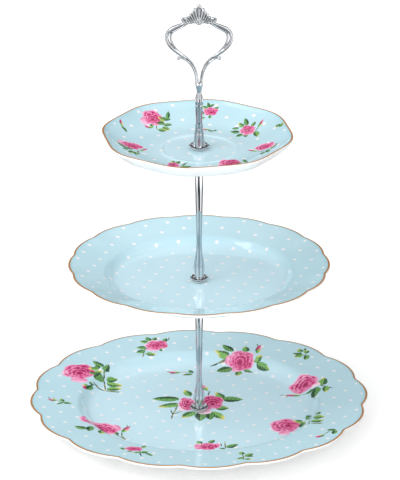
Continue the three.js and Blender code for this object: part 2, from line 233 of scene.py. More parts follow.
BOTTOM_STEMS = [
    (-45.5, 97, -45.2, 91, 1.1), (-45.2, 91.6, -46.2, 85.6, 1), (-43.8, 101, -45.4, 95, 1.1),
    (-24.8, 121, -25.4, 115.5, .8), (-77, 59, -77.4, 50, 1.2), (-77.4, 51, -75.6, 37.6, 1.2),
    (-86, 40.6, -76, 36.8, 1.6), (-77, 37.2, -64, 34.6, 2), (-67, -46.4, -62.6, -52, 1.2),
    (-63, -51.4, -57.8, -57.6, 1.3), (-61.6, -43, -61.4, -51, 1.1), (-61.5, -50, -59, -56, 1.1),
    (-57.6, -29.8, -57, -34, .8), (-54.8, -31, -56.6, -34.6, .8), (-46.2, -100, -46.6, -105, 1),
    (-46.6, -104, -45, -111.6, 1.1), (-45.2, -79, -41.6, -85.4, 1.2),
    (-41.6, -84.6, -43.2, -91, 1.2),
    (20.4, -61, 20.8, -74, 1), (17, -64, 18, -70, .9), (34, -106, 34.8, -119.4, 1.1),
    (34.4, -113.6, 38, -109.6, 1), (99, -70.2, 103.5, -64, .9), (97.6, 27.4, 107.4, 21.2, 1.6),
    (88, -38, 87, -48, .9), (88.6, -46.8, 98.6, -47.6, 1.7), (22.4, 90.2, 15.4, 88.8, 1.5),
    (16.2, 89.2, 9.2, 85.8, 1.6), (46.8, 81.4, 44, 84, 1), (47.6, 107.8, 48.8, 103, .9),
    (51.4, 106.2, 49.4, 103, .9), (-18, 4, -21.4, -11, 1.1), (-21, -9, -22.2, -18, 1.3),
    (-13, -2, -20.6, -8.6, 1), (-23, 0, -21, -10, 1.1), (-15.6, 15, -19.8, -2, 1),
    (8.4, 37, 7.4, 28, 1), (-14.8, 74, -4.6, 73, .8), (-26.2, 76, -23.6, 74.6, .9),
    (-24, 70.2, -20.4, 71.4, .9), (-121.6, 1, -119.4, -1.6, .9), (-116.6, .8, -116.2, -2, .9),
    (-114.4, -4.2, -109.4, -8.4, .8), (-110, -4.6, -109.2, -8.4, .9), (65, 29.2, 69.6, 28.6, 1),
    (69.4, 24.6, 72.4, 27, 1), (82, 28.2, 90, 26.4, .9), (83.2, 91, 83.6, 86.4, .9),
    (88, 89.4, 86.2, 83.6, .9), (83.4, 86.6, 87.4, 84, .9),
]

TOP_ROSES = [
    (-37, 51.6, 30, 17.5, 16.5, .4), (9.2, 64, 0, 12.6, 8, .6), (38.4, 34.6, 100, 14.5, 12.6, .3),
    (-53, 1.6, 5, 18.5, 13.5, .7), (-20.4, -35, 95, 12.5, 9.6, .5), (51.4, -.4, 8, 16.5, 13, .9),
    (23.8, -31.6, 60, 19.5, 18.5, .3),
]
TOP_PETALS = [
    (-43, 45.5, 60, 8, 8, .6), (-60, 2, 0, 8, 9, .5), (56, -3, 110, 7, 8, .9),
    (19, -38, 100, 8, 9, .7), (-18, -40, 100, 5, 6, .8),
]
TOP_LEAVES = [
    (-24.8, 58, 88, 7, 3.4, .2), (-26.5, 53.5, 8, 8, 4.4, .2), (-25, 47, 14, 8, 4, .3),
    (-26, 41.6, -28, 7, 5, .6), (-28.6, 38.5, 4, 8, 5, .8), (-37.6, 42, 260, 6, 3, .3),
    (-58.2, 25.4, -66, 6, 2.6, .3), (-60.4, 27, 110, 5, 2.2, .2), (7.4, 69.6, 100, 5, 3.2, .2),
    (10.2, 69.4, 20, 5, 2.2, .3), (4.4, 68, 158, 4.4, 2.6, .8), (13.8, 66.6, 24, 4.4, 2.2, .4),
    (8.6, 58.6, 262, 4, 2.4, .5), (2.4, 63, 190, 4, 3, .1), (2.8, 57.4, 200, 4, 2.4, .9),
    (37.4, 46, 98, 9, 4, .3), (33.3, 43.6, 124, 8, 4.2, .7), (43.2, 41.2, 62, 6, 3.4, .4),
    (28.8, 40.4, 178, 6, 3.4, .3), (28.2, 35, 158, 8, 5.4, .2), (31.8, 28.2, 222, 7, 4.4, .4),
    (37, 26.8, 272, 6, 4, .4), (45.4, 26.4, 278, 10, 5, .6), (12.6, 39.6, 20, 4, 2.2, .3),
    (9, 38.6, -40, 5, 2, .2), (62, 26, 150, 5, 3.4, .6), (65, 23.4, -60, 5.6, 3.4, .7),
    (-62, -4, 140, 7, 4, .2), (-59.6, -6.4, 200, 6, 4, .3), (-55, -6.6, 205, 6, 4.4, .2),
    (-58, -11, 232, 6, 4, .4), (-53.2, -14, 242, 8, 4.6, .7), (-49.4, -14.6, 282, 7, 4, .5),
    (-20.6, -27.4, 100, 4.6, 3.4, .8), (-16.4, -28.8, 58, 6, 4, .4), (-10, -38.4, 18, 10, 4.4, .4),
    (-11, -32, 50, 7, 1.8, .3), (-29, -37, 180, 5.4, 3.6, .8), (58.6, -5.6, 54, 10, 3, .4),
    (54, -13, 270, 9, 4, .3), (49.8, -15, 218, 6, 4.6, .3), (36, -29, 104, 13, 3.4, .3),
]
TOP_TOP_LEAVES = [
    (-30.4, 53.2, 170, 5, 3.4, .9), (-30.6, 47.6, 200, 7, 4.6, .1), (30.6, -36, 250, 8, 5, .9),
    (-29.4, 50.4, 20, 4, 3, 1.0),
]
TOP_BUDS = [
    (-40, 39.6, 182, 7.4, 4, .5), (-61.6, 31.4, 108, 6.6, 3, .5), (48.8, 39, 62, 9, 3.6, .4),
    (5, 42, 172, 7, 3.4, .6), (-43.4, -3.6, 52, 9, 3.4, .3), (42, -4.6, 145, 9.4, 3.6, .4),
]
TOP_STEMS = [
    (-34.2, 44, -33.2, 37.6, .9), (-33.4, 38.2, -27.6, 34.6, .9), (-60.8, 29.6, -58.4, 23.6, .7),
    (46.6, 35.6, 44.6, 31, .8), (8, 41.4, 13, 38.4, .8), (-48.4, -5, -46.8, -15, .9),
    (-46.4, -7, -50, -12, .8), (46, -7.6, 52, -10.6, .8), (-15.4, -41, -9.4, -30, .8),
]

# Dots stand on a lattice: two steps and one dot's place.
DOTS = {
    "bottom": ((13.4, -7.7), (-9.4, -11.8), (3.6, -6.2)),
    "middle": ((13.3, -6.9), (-4.45, -14.0), (5.3, -6.5)),
    "top": ((13.5, 7.0), (8.06, -12.65), (5.6, -3.0)),
}

# Rings of petals in a rose, from the outside in: reach, petals, where they start, and how far the
# ring's middle leans.
ROSE_RINGS = [(1.0, 5, 0.4, 0.0), (0.78, 5, 1.5, 0.1), (0.55, 4, 0.7, 0.22),
              (0.32, 3, 2.1, 0.32)]


# --- Sizes and colours a user may change ------------------------------------------------------

def length_setting(name, description, default):
    return bpy.props.FloatProperty(name=name, description=description, default=default * MM,
                                   min=0, subtype="DISTANCE", unit="LENGTH", precision=4)


def colour_setting(name, description, code):
    return bpy.props.FloatVectorProperty(name=name, description=description, size=3, min=0,
                                         max=1, default=linear(code), subtype="COLOR")


class StandSizes(bpy.types.PropertyGroup):
    """Lengths of the stand."""

    bottom_rim: length_setting("Bottom rim radius", "Stem to lobes of the largest plate", 136)
    middle_rim: length_setting("Middle rim radius", "Stem to lobes of the middle plate", 104.3)
    top_rim: length_setting("Top rim radius", "Stem to lobes of the saucer", 75.2)
    gold_width: length_setting("Gold band width", "Width of the gilding on every rim", 1.5)
    dot_diameter: length_setting("Dot diameter", "White dots in the glaze", 3.1)


class StandColours(bpy.types.PropertyGroup):
    """Colours of the stand, as linear values."""

    glaze_rim: colour_setting("Glaze on the rim", "Blue of the rims and saucer's side", "c0e0ea")
    # The well's colour is the glaze's blue, lightened by a painted reflection of the bright studio.
    glaze_well_and_sheen: colour_setting("Glaze in the well", "Blue of each plate's flat middle", "cce8f2")
    glaze_edge: colour_setting("Glaze at the edge", "Glaze gathered inside the gold", "a6d6e4")
    china: colour_setting("Bare china", "White of the undersides and the outer edges", "e9eaea")
    dots: colour_setting("Dots", "White dots in the glaze", "f6f2f4")
    gold: colour_setting("Gilding", "Gold of the rims", "c48f58")
    rose_dark: colour_setting("Rose, dark", "Shadow between the petals", "9c0a48")
    rose_mid: colour_setting("Rose, middle", "Body of the petals", "d8327e")
    rose_light: colour_setting("Rose, light", "Lit edge of the petals", "fab2d4")
    leaf_dark: colour_setting("Leaf, dark", "Shaded half of a leaf", "05331a")
    leaf_light: colour_setting("Leaf, light", "Lit half of a leaf", "7cc060")
    leaf_tip: colour_setting("Leaf tip", "Yellow tips and edges of the leaves", "f0dc6c")
    stem: colour_setting("Painted stems", "Thin stalks between the flowers", "5b6a4e")
    chrome: colour_setting("Chrome", "Plating of the rods, the rosettes and the handle", "d6d9dd")
    zinc: colour_setting("Zinc plate", "Bolt, studs and washers", "a2a4a8")
    rubber: colour_setting("Gaskets", "Milky soft rings between metal and china", "d9dcda")
    floor: colour_setting("Floor", "Studio floor", "ffffff")


# --- Node materials ---------------------------------------------------------------------------

# Glaze: how sharp it mirrors, how far a painter's hand strays (mm), how well the paint covers, and
# where the glaze gathers inside the gold line (mm).
GLAZE_ROUGHNESS = 0.045
GLAZE_IOR = 1.52
HAND_STRAY = 1.7
PAINT_COVER = 0.97
GATHERED = (-3.6, -1.6)
DOTS_END = (-2.6, -3.2)
GOLD_METAL = 0.35
GOLD_ROUGHNESS = 0.16
CHROME_ROUGHNESS = 0.035
# Where the painted shade in the hollows starts and ends, how bright that painted shade is, and how
# bright the plating is.
CAST_CHROME = {"hollow_shade_at": (0.494, 0.445), "hollow_shade_tone": 0.03, "polish": 0.8}


class Level:
    """A number that varies over a surface. Each sum on it adds the Math node it stands for."""

    def __init__(self, finish, socket):
        self.finish = finish
        self.socket = socket

    def work(self, operation, first, second=None):
        inputs = {0: first} if second is None else {0: first, 1: second}
        return self.finish.level("ShaderNodeMath", {"operation": operation}, inputs)

    def __add__(self, other):
        return self.work("ADD", self, other)

    def __sub__(self, other):
        return self.work("SUBTRACT", self, other)

    def __rsub__(self, other):
        return self.work("SUBTRACT", other, self)

    def __mul__(self, other):
        return self.work("MULTIPLY", self, other)

    def __truediv__(self, other):
        return self.work("DIVIDE", self, other)

    def __pow__(self, other):
        return self.work("POWER", self, other)

    def __lt__(self, other):
        return self.work("LESS_THAN", self, other)

    def __gt__(self, other):
        return self.work("GREATER_THAN", self, other)

    def __abs__(self):
        return self.work("ABSOLUTE", self)

    __radd__ = __add__
    __rmul__ = __mul__

    def least(self, other):
        return self.work("MINIMUM", self, other)

    def most(self, other):
        return self.work("MAXIMUM", self, other)

    def wave(self):
        return self.work("COSINE", self)

    def fraction(self):
        return self.work("FRACT", self)


class Finish:
    """A procedural material, or the studio's sky, while its nodes are laid out."""

    def __init__(self, name, sky=None):
        self.material = sky or bpy.data.materials.new(name)
        self.material.use_nodes = True
        self.tree = self.material.node_tree
        if sky:
            self.tree.nodes.clear()
        self.shader = self.tree.nodes.get("Principled BSDF")
        self.coordinates = self.node("ShaderNodeTexCoord").outputs
        self.place = self.coordinates["Object"]

    def node(self, kind, settings=None, inputs=None):
        """One node of that type: its settings are set first, then its sockets."""
        node = self.tree.nodes.new(kind)
        for key, value in (settings or {}).items():
            if key == "stops":
                self.set_stops(node.color_ramp, value)
            else:
                setattr(node, key, value)
        self.fill(node, inputs or {})
        return node

    def fill(self, node, inputs):
        for key, value in inputs.items():
            if isinstance(value, Level):
                value = value.socket
            if isinstance(value, bpy.types.NodeSocket):
                self.tree.links.new(value, node.inputs[key])
            else:
                node.inputs[key].default_value = value

    @staticmethod
    def set_stops(ramp, stops):
        for element in list(ramp.elements)[1:]:
            ramp.elements.remove(element)
        ramp.elements[0].position, ramp.elements[0].color = stops[0]
        for position, colour in stops[1:]:
            ramp.elements.new(position).color = colour

    def level(self, kind, settings=None, inputs=None, output=0):
        return Level(self, self.node(kind, settings, inputs).outputs[output])

    def vector(self, operation, first, second=None):
        inputs = {0: first} if second is None else {0: first, 1: second}
        return self.node("ShaderNodeVectorMath", {"operation": operation}, inputs).outputs["Vector"]

    def length(self, vector):
        return self.level("ShaderNodeVectorMath", {"operation": "LENGTH"}, {0: vector}, "Value")

    def dot(self, vector, row):
        inputs = {0: vector, 1: row}
        return self.level("ShaderNodeVectorMath", {"operation": "DOT_PRODUCT"}, inputs, "Value")

    def parts(self, vector):
        node = self.node("ShaderNodeSeparateXYZ", None, {0: vector})
        return [Level(self, socket) for socket in node.outputs]

    def join(self, x, y, z=0.0):
        return self.node("ShaderNodeCombineXYZ", None, {0: x, 1: y, 2: z}).outputs[0]

    def rise(self, value, low, high):
        """0 below low, 1 above high, and a smooth step between."""
        inputs = {"Value": value, "From Min": low, "From Max": high}
        return self.level("ShaderNodeMapRange", {"interpolation_type": "SMOOTHSTEP"}, inputs)

    def mix(self, part, under, over):
        """Colours: under where part is 0, and over where it is 1."""
        inputs = {0: part, 6: under, 7: over}
        return self.node("ShaderNodeMix", {"data_type": "RGBA"}, inputs).outputs[2]

    def mix_levels(self, part, under, over):
        return self.level("ShaderNodeMix", {"data_type": "FLOAT"}, {0: part, 2: under, 3: over})

    def noise(self, place, scale, detail=2.0, output="Fac"):
        inputs = {"Vector": place, "Scale": scale, "Detail": detail}
        return self.level("ShaderNodeTexNoise", None, inputs, output)

    def ramp(self, value, stops):
        return self.node("ShaderNodeValToRGB", {"stops": stops}, {0: value}).outputs[0]

    def bump(self, height, strength, distance):
        inputs = {"Height": height, "Strength": strength, "Distance": distance}
        return self.node("ShaderNodeBump", None, inputs).outputs[0]


def rgba(colour, scale=1.0):
    return (*(min(1.0, channel * scale) for channel in colour), 1.0)


def between(first, second, part):
    return rgba([a + (b - a) * part for a, b in zip(first, second)])


def own_axes(finish, place, x, y, angle, length, width):
    """Where a point lies along and across a mark that ends at -1 and 1."""
    across, up = math.cos(angle), math.sin(angle)
    for a, b, reach in ((across, up, length / 2), (-up, across, width / 2)):
        yield finish.dot(place, (a / reach, b / reach, -(a * x + b * y) / reach))


def nearest_mark(finish, place, marks):
    """The nearest mark's own coordinates, which end at -1 and 1, and its tone."""
    best = least = None
    for x, y, turn, length, width, tone in marks:
        u, v = own_axes(finish, place, x, y, math.radians(turn), length, width)
        reach = u * u + v * v
        if best is None:
            best, least = (u, v, tone), reach
            continue
        nearer = reach < least
        best = [finish.mix_levels(nearer, old, new) for old, new in zip(best, (u, v, tone))]
        least = least.least(reach)
    return best


def paint_rose(finish, marks, place, colours):
    """A cabbage rose: rings of petals, dark where they start and light at their edges."""
    x, y, tone = nearest_mark(finish, place, marks)
    cover = shade = None
    for index, (reach, petals, start, lean) in enumerate(ROSE_RINGS):
        across = x - (tone - 0.5) * (2 * lean)
        up = y + lean * 0.5
        radius = (across * across + up * up) ** 0.5
        angle = across.work("ARCTAN2", up, across)
        lobe = abs((angle * (petals / 2) + (tone * 9 + start)).wave()) ** 0.55
        part = radius / ((lobe * 0.2 + 0.8) * reach)
        inside = finish.rise(part, 1.03, 0.97)
        inner = ROSE_RINGS[index + 1][0] / reach if index + 1 < len(ROSE_RINGS) else 0.2
        lit = finish.rise(part, inner - 0.25, 1.02) * (finish.rise(lobe, 0.05, 0.6) * 0.5 + 0.5)
        lit = lit * (1.0 - index * 0.08)
        if cover is None:
            streaks = finish.noise(finish.join(angle * 2.2, radius * 0.9, tone * 7), 1.3, 2)
            cover, shade = inside, lit
        else:
            shade = finish.mix_levels(inside, shade, lit)
    shade = shade + (streaks - 0.5) * 0.9 + (y - x) * 0.1 + (tone - 0.5) * 0.12 - 0.18
    dark, middle, light = colours.rose_dark, colours.rose_mid, colours.rose_light
    colour = finish.ramp(shade, [
        (0.05, rgba(dark)), (0.35, rgba(middle)), (0.6, between(middle, light, 0.45)),
        (0.85, rgba(light)), (1.0, between(light, (1, 1, 1), 0.5)),
    ])
    return cover, colour


def paint_petal(finish, marks, place, colours):
    """A loose petal below a rose, light at its far edge."""
    x, y, tone = nearest_mark(finish, place, marks)
    radius = (x * x + y * y) ** 0.5
    streaks = finish.noise(finish.join(y * 3, x, tone * 5), 1.5, 2)
    shade = finish.rise(x, 1.0, -0.7) * 0.5 + streaks * 0.6 + (tone - 0.5) * 0.5
    middle, light = colours.rose_mid, colours.rose_light
    colour = finish.ramp(shade, [
        (0.2, rgba(middle)), (0.5, between(middle, light, 0.5)),
        (0.75, rgba(light)), (1.0, between(light, (1, 1, 1), 0.6)),
    ])
    return finish.rise(radius, 1.04, 0.94), colour


def paint_leaf(finish, marks, place, colours):
    """A pointed leaf with a toothed edge, a pale rib, side veins and a yellow tip."""
    x, y, tone = nearest_mark(finish, place, marks)
    side = abs(y)
    teeth = (x * 5.5).fraction() * 0.1
    width = (1 - x * x).most(0) ** 0.72 * (1.02 - x * 0.3) - teeth
    cover = finish.rise(width - side, -0.02, 0.1)
    veins = abs(((x * 2.6 - side * 1.8).fraction() - 0.5)) * 2
    rib = finish.rise(side, 0.14, 0.04)
    lit = finish.rise(y, -0.25, 0.3)
    shade = lit * 0.35 + veins * 0.4 + tone * 0.3 + rib * 0.3 - 0.1
    dark, light = colours.leaf_dark, colours.leaf_light
    green = finish.ramp(shade, [
        (0.1, rgba(dark)), (0.4, between(dark, light, 0.32)), (0.75, rgba(light)),
        (1.0, between(light, colours.leaf_tip, 0.6)),
    ])
    tip = finish.rise(x + side * 0.5 + tone * 0.9 + lit * 0.25, 1.2, 1.85)
    return cover, finish.mix(tip, green, rgba(colours.leaf_tip))


def paint_bud(finish, marks, place, colours):
    """A closed bud: pink above, held by a pointed green calyx."""
    x, y, tone = nearest_mark(finish, place, marks)
    side = abs(y)
    width = (1 - x * x).most(0) ** 0.62 * 0.86
    cover = finish.rise(width - side, -0.02, 0.12)
    sepal = (x * 0.9 + 0.05) - abs(abs(y * 2.2) - 0.75) * 0.5
    green_part = finish.rise(sepal, -0.12, -0.28)
    dark, light = colours.rose_dark, colours.rose_light
    pink = finish.ramp(y * 0.5 + 0.5, [
        (0.2, rgba(light)), (0.5, rgba(colours.rose_mid)), (0.8, rgba(dark)),
    ])
    green = finish.ramp(y * 0.5 + 0.5, [
        (0.15, rgba(colours.leaf_tip)), (0.45, rgba(colours.leaf_light)),
        (0.85, rgba(colours.leaf_dark)),
    ])
    return cover, finish.mix(green_part, pink, green)


def paint_stems(finish, marks, place, colours):
    """Thin stalks, drawn as long narrow ovals."""
    reach = None
    for x1, y1, x2, y2, width in marks:
        run, angle = math.hypot(x2 - x1, y2 - y1), math.atan2(y2 - y1, x2 - x1)
        middle = (x1 + x2) / 2, (y1 + y2) / 2
        u, v = own_axes(finish, place, *middle, angle, run * 1.12, width * 1.1)
        own = u * u + v * v
        reach = own if reach is None else reach.least(own)
    reach = reach ** 0.5
    patches = finish.noise(place, 0.5, 1)
    colour = finish.ramp(patches, [
        (0.35, rgba(colours.leaf_dark)), (0.5, rgba(colours.stem)),
        (0.68, between(colours.stem, colours.leaf_tip, 0.5)),
    ])
    return finish.rise(reach, 1.05, 0.8), colour


def paint_dots(finish, place, lattice, radius, out, steep):
    """White dots on a slanting lattice, kept round where the surface is steep."""
    (ax, ay), (bx, by), (ox, oy) = lattice
    area = ax * by - ay * bx
    moved = finish.vector("SUBTRACT", place, (ox, oy, 0))
    along_a = finish.dot(moved, (by / area, -bx / area, 0))
    along_b = finish.dot(moved, (-ay / area, ax / area, 0))
    off_a = along_a - along_a.work("ROUND", along_a)
    off_b = along_b - along_b.work("ROUND", along_b)
    x = off_a * ax + off_b * bx
    y = off_a * ay + off_b * by
    across, up, _ = finish.parts(place)
    outward = (x * across + y * up) / out
    reach = (x * x + y * y + outward * outward * steep) ** 0.5
    return finish.rise(reach, radius * 1.12, radius * 0.86)


def china_finish(name, sizes, colours, floor_r, shoulder_r, lattice, marks=None):
    """Blue glaze above with dots and flowers, a gold band on the edge, and white china below.

    The flowers' coordinates carry a 1 in z, so one dot product both moves and turns them.
    """
    finish = Finish(name)
    flat = finish.vector("MULTIPLY", finish.place, (1 / MM, 1 / MM, 0))
    wobble = finish.vector("SUBTRACT", finish.noise(flat, 0.4, 2, "Color"), (0.5, 0.5, 0.5))
    stray = finish.vector("MULTIPLY", wobble, (HAND_STRAY, HAND_STRAY, 0))
    hand = finish.vector("ADD", finish.vector("ADD", flat, stray), (0, 0, 1))
    radius = finish.length(flat)
    run = finish.level("ShaderNodeAttribute", {"attribute_name": "rim_run"}, None, "Fac") / MM

    # Painted reflection: the well is lighter than the rim, though both are the same glaze.
    blue = finish.mix(finish.rise(radius, floor_r - 2, shoulder_r + 2),
                      rgba(colours.glaze_well_and_sheen), rgba(colours.glaze_rim))
    pooled = finish.noise(flat, 0.018, 2)
    blue = finish.mix((pooled - 0.5) * 0.4 + 0.06, blue, rgba(colours.glaze_edge))
    gold_half = sizes.gold_width / MM / 2
    blue = finish.mix(finish.rise(run, *GATHERED) * 0.5, blue, rgba(colours.glaze_edge))
    facing = finish.parts(finish.coordinates["Normal"])[2]
    steep = (facing * facing).most(0.08) ** -1 - 1
    dots = paint_dots(finish, flat, lattice, sizes.dot_diameter / MM / 2, radius, steep)
    dots = dots * finish.rise(run, *DOTS_END)
    colour = finish.mix(dots * 0.92, blue, rgba(colours.dots))
    if marks:
        painters = [paint_stems, paint_leaf, paint_petal, paint_rose, paint_leaf, paint_bud]
        for painter, group in zip(painters, marks):
            cover, paint = painter(finish, group, hand, colours)
            colour = finish.mix(cover * PAINT_COVER, colour, paint)
    below = run > 0
    colour = finish.mix(below, colour, rgba(colours.china))
    gold = finish.rise(abs(run), gold_half * 1.15, gold_half * 0.9)
    worn = finish.noise(flat, 0.7, 3)
    gold_colour = finish.mix(finish.rise(worn, 0.35, 0.7), rgba(colours.gold),
                             rgba(colours.gold, 1.25))
    colour = finish.mix(gold, colour, gold_colour)
    swirl = finish.noise(finish.place, 45.0, 2)
    fine = finish.noise(finish.place, 900.0, 2)
    unglazed = finish.rise(radius, HOLE_R + 1.2, HOLE_R + 0.4)
    finish.fill(finish.shader, {
        "Base Color": colour,
        "Metallic": gold * GOLD_METAL,
        "Roughness": gold * GOLD_ROUGHNESS + unglazed * 0.5 + fine * 0.03 + GLAZE_ROUGHNESS,
        "Normal": finish.bump(swirl + fine * 0.02 + gold * 0.12, 0.12, 0.0006),
        "IOR": GLAZE_IOR,
    })
    return finish.material


def chrome_finish(name, colours, grain, flutes=0, flute_top=1.0, hollow_shade_at=(0.475, 0.42),
                  hollow_shade_tone=0.1, polish=1.0):
    """Bright plating over a casting: faint ripples, soft pits, and painted shade that darkens the
    hollows.

    With flutes, painted shade also darkens their valleys up to the height flute_top.
    """
    finish = Finish(name)
    bright, dull = rgba(colours.chrome, polish), rgba(colours.chrome, polish * 0.8)
    dark = rgba(colours.chrome, hollow_shade_tone)
    ripples = finish.noise(finish.place, 160.0, 2)
    pits = finish.noise(finish.place, 2200.0, 3)
    # Painted shade: the base colour darkens where the casting is hollow, down to the colour dark.
    hollow = finish.level("ShaderNodeNewGeometry", None, None, "Pointiness")
    hollow_shade = finish.rise(hollow, *hollow_shade_at)
    plate = finish.mix(hollow_shade * 0.95, bright, dark)
    plate = finish.mix(ripples * 0.25, plate, dull)
    if flutes:
        x, y, z = finish.parts(finish.place)
        wave = (x.work("ARCTAN2", x, y) * flutes).wave()
        streaks = finish.noise(finish.place, 90.0, 2)
        # Painted shade: the flutes' valleys are darkened in the base colour.
        valley_shade = finish.rise(wave + (streaks - 0.5) * 0.3, 0.35, 0.95)
        valley_shade = valley_shade * finish.rise(z, flute_top, flute_top - 0.002)
        plate = finish.mix(valley_shade * 0.8, plate, rgba(colours.chrome, 0.3 * polish))
    finish.fill(finish.shader, {
        "Base Color": plate,
        "Metallic": 1.0,
        "Roughness": pits * 0.05 + hollow_shade * 0.12 + CHROME_ROUGHNESS,
        "Normal": finish.bump(ripples + pits * 0.06, 0.25 * grain, 0.0003),
    })
    return finish.material


def zinc_finish(colours):
    """Dull zinc plate with fine spangle and turning marks."""
    finish = Finish("dull_zinc_plate")
    spangle = finish.noise(finish.place, 700.0, 3)
    x, y, z = finish.parts(finish.place)
    turned = finish.noise(finish.join(x * 0.2, y * 0.2, z * 6), 900.0, 2)
    finish.fill(finish.shader, {
        "Base Color": finish.mix(spangle, rgba(colours.zinc, 0.75), rgba(colours.zinc, 1.15)),
        "Metallic": 1.0,
        "Roughness": spangle * 0.25 + 0.25,
        "Normal": finish.bump(spangle * 0.5 + turned, 0.35, 0.0002),
    })
    return finish.material


def rubber_finish(colours):
    """Milky soft gasket with a faint cloudiness."""
    finish = Finish("milky_gasket")
    cloud = finish.noise(finish.place, 350.0, 3)
    finish.fill(finish.shader, {
        "Base Color": finish.mix(cloud, rgba(colours.rubber, 0.85), rgba(colours.rubber, 1.08)),
        "Roughness": cloud * 0.2 + 0.4,
        "Normal": finish.bump(cloud, 0.2, 0.0002),
        "Subsurface Weight": 0.15,
    })
    return finish.material


# --- Modelling --------------------------------------------------------------------------------

# Vertices nearer than the first are one seam, and edges shorter than the second are closed.
SEAM_GAP = 0.005
SPECK = 0.001


def deselect_all():
    if bpy.context.object and bpy.context.object.mode != "OBJECT":
        bpy.ops.object.mode_set(mode="OBJECT")
    bpy.ops.object.select_all(action="DESELECT")


def draw_profile(name, profile):
    """A chain of edges through (radius, height) points, drawn by extruding one vertex."""
    deselect_all()
    bpy.ops.mesh.primitive_plane_add(size=MM, location=(0, 0, 0))
    piece = bpy.context.object
    piece.name = name
    piece.data.name = name
    bpy.ops.object.mode_set(mode="EDIT")
    bpy.ops.mesh.select_mode(type="VERT")
    bpy.ops.mesh.select_all(action="SELECT")
    bpy.ops.mesh.merge(type="CENTER")
    points = [Vector((r, 0, z)) * MM for r, z in profile]
    bpy.ops.transform.translate(value=points[0])
    for here, there in zip(points, points[1:]):
        bpy.ops.mesh.extrude_region_move(TRANSFORM_OT_translate={"value": there - here})
    return piece


def spin_profile(piece, steps):
    """Turns the drawn profile about the stem, then closes its seam and poles."""
    bpy.ops.object.mode_set(mode="EDIT")
    bpy.ops.mesh.select_all(action="SELECT")
    bpy.ops.mesh.spin(steps=steps, angle=math.tau, center=(0, 0, 0), axis=(0, 0, 1))
    bpy.ops.mesh.select_all(action="SELECT")
    bpy.ops.mesh.remove_doubles(threshold=SEAM_GAP * MM)
    bpy.ops.mesh.dissolve_degenerate(threshold=SPECK * MM)
    bpy.ops.mesh.select_all(action="SELECT")
    bpy.ops.mesh.normals_make_consistent(inside=False)


def shape_rings(piece, share_of, move):
    """Moves together all vertices that share a value, for each value there is."""
    bpy.ops.object.mode_set(mode="EDIT")
    mesh = bmesh.from_edit_mesh(piece.data)
    groups = {}
    for vertex in mesh.verts:
        share = round(share_of(vertex.co / MM), 4)
        if share:
            groups.setdefault(share, []).append(vertex.index)
    for share, members in sorted(groups.items()):
        mesh = bmesh.from_edit_mesh(piece.data)
        mesh.verts.ensure_lookup_table()
        bpy.ops.mesh.select_all(action="DESELECT")
        for index in members:
            mesh.verts[index].select_set(True)
        mesh.select_flush_mode()
        move(share)
    bpy.ops.object.mode_set(mode="OBJECT")


def draw_in(share):
    """Draws the selection in towards the stem."""
    bpy.ops.transform.resize(value=(1 - share, 1 - share, 1), center_override=(0, 0, 0))


def lift(share):
    bpy.ops.transform.translate(value=(0, 0, share * MM))


def slide(share):
    bpy.ops.transform.translate(value=(share * MM, 0, 0))


def front_angle(point):
    """Angle about the stem, counter-clockwise from the front."""
    return math.atan2(point.y, point.x) + math.pi / 2


def finish_piece(piece, turn=0.0, levels=1):
    """Smooths the mesh, turns it into place and leaves it unturned and unscaled."""
    bpy.ops.object.mode_set(mode="OBJECT")
    bpy.ops.object.select_all(action="DESELECT")
    piece.select_set(True)
    bpy.context.view_layer.objects.active = piece
    if levels:
        smooth = piece.modifiers.new("Smooth", "SUBSURF")
        smooth.levels = smooth.render_levels = levels
        bpy.ops.object.modifier_apply(modifier=smooth.name)
    piece.rotation_euler[2] = math.radians(turn)
    bpy.ops.object.transform_apply(location=True, rotation=True, scale=True)
    bpy.ops.object.shade_smooth()


def hand_over(piece, material, body, node):
    """Gives a finished piece its material and its body, and hides the node it stands for."""
    piece.data.materials.clear()
    piece.data.materials.append(material)
    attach(piece, body)
    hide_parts(node)


def mark_rim_run(piece, profile, rim_index):
    """Keeps each vertex's way from the gold line: below zero on the upper face."""
    bpy.ops.object.mode_set(mode="OBJECT")
    runs = [0.0]
    for (r1, z1), (r2, z2) in zip(profile, profile[1:]):
        runs.append(runs[-1] + math.hypot(r2 - r1, z2 - z1))
    layer = piece.data.attributes.new("rim_run", "FLOAT", "POINT")
    for vertex in piece.data.vertices:
        spot = Vector((vertex.co.x, vertex.co.z)) / MM
        nearest = min(range(len(profile) - 1), key=lambda at: (Vector(profile[at]) - spot).length)
        layer.data[vertex.index].value = (runs[rim_index] - runs[nearest]) * MM


def along(first, last, parts):
    """Points between two (radius, height) points."""
    return [tuple(a + (b - a) * part for a, b in zip(first, last)) for part in parts]


def foot_profile(shape, under, outer_z):
    """Underside from the hole to just outside the foot ring."""
    inner = shape["foot_r"] - shape["foot_width"] / 2
    outer = shape["foot_r"] + shape["foot_width"] / 2
    foot = shape["foot_z"]
    return [
        (HOLE_R, under), (HOLE_R + 1, under),
        *along((HOLE_R, under), (inner - 2, under), (.3, .65)),
        (inner - 3, under), (inner - 1.6, under - 0.3), (inner - 0.8, under - 1.2),
        (inner - 0.3, foot + 1), (inner + 0.1, foot + 0.2), (inner + 0.7, foot),
        (outer - 0.7, foot), (outer - 0.1, foot + 0.3), (outer + 0.5, foot + 1.2),
        (outer + 1.2, (foot + outer_z) / 2 + 0.6), (outer + 2.4, outer_z - 0.3),
    ]


def rim_edge(rim_r, rim_z, edge):
    """Rounded edge of a plate, from below to above."""
    return [
        (rim_r - 2.6, rim_z - edge - 0.08), (rim_r - 1.1, rim_z - edge + 0.1),
        (rim_r - 0.25, rim_z - edge * 0.72), (rim_r, rim_z - edge * 0.45),
        (rim_r - 0.12, rim_z - edge * 0.2), (rim_r - 0.55, rim_z - 0.06),
        (rim_r - 1.15, rim_z + 0.02), (rim_r - 2.2, rim_z - 0.05),
    ]


